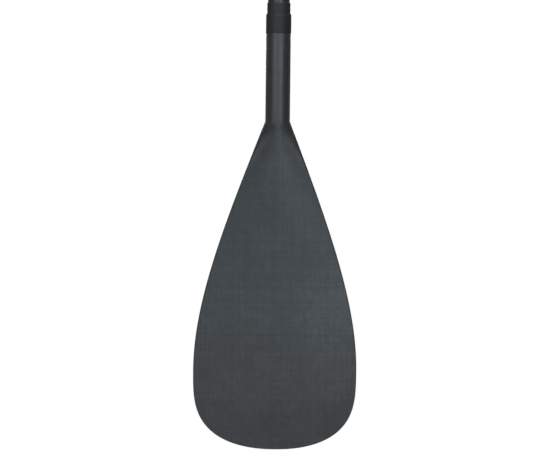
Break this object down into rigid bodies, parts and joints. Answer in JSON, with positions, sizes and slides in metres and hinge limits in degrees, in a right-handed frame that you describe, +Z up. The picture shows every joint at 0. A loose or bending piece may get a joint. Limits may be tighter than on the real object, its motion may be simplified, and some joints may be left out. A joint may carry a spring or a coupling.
{
  "type": "single blade paddle",
  "caption": "Adjustable single blade paddle: a teardrop carbon blade with a round neck, a telescoping shaft held by a cam clamp, and a T-grip.",
  "frame": {"origin": "on the shaft's axis, at the top edge of the joint sleeve where the bare lower shaft begins", "axes": "+Z up the shaft towards the T-grip, -Y the way the blade's power face looks, X across the blade"},
  "size_m": [0.2158, 0.0901, 1.6997],
  "materials": {
    "carbon_weave": "satin",
    "carbon_tube": "satin",
    "shrink_sleeve": "satin",
    "clamp_plastic": "satin",
    "grip_shell": "satin",
    "nylon": "satin",
    "rubber": "matte",
    "stainless_steel": "satin",
    "foam": "matte"
  },
  "bodies": {
    "blade_section": {"blade_front_laminate": "carbon_weave", "blade_back_laminate": "carbon_weave", "blade_core": "foam", "neck_plug": "foam", "lower_shaft": "carbon_tube", "joint_sleeve": "shrink_sleeve", "shaft_bulkhead": "foam", "clamp_collar": "clamp_plastic", "clamp_liner": "nylon", "tension_bolt": "stainless_steel", "cam_saddle": "nylon", "lever_pin": "stainless_steel", "nut_washer": "stainless_steel"},
    "lever": {"clamp_lever": "clamp_plastic"},
    "nut": {"thumb_nut": "clamp_plastic"},
    "grip_section": {"upper_shaft": "carbon_tube", "guide_bush": "nylon", "guide_o_ring": "rubber", "grip_stem": "nylon", "grip_front_shell": "grip_shell", "grip_rear_shell": "grip_shell", "grip_filler": "foam", "grip_sleeve": "shrink_sleeve"}
  },
  "joints": [
    {"name": "shaft_extension", "type": "slide", "parent": "blade_section", "child": "grip_section", "axis": [0, 0, 1], "range_m": [0, 0.4]},
    {"name": "clamp_lever_hinge", "type": "hinge", "parent": "blade_section", "child": "lever", "pos_m": [0.019, 0.026, 0.653], "axis": [0, 0, 1], "range_deg": [0, 140]},
    {"name": "thumb_nut_turn", "type": "hinge", "parent": "blade_section", "child": "nut", "pos_m": [-0.0158, 0.026, 0.653], "axis": [1, 0, 0], "range_deg": [-360, 360]}
  ]
}
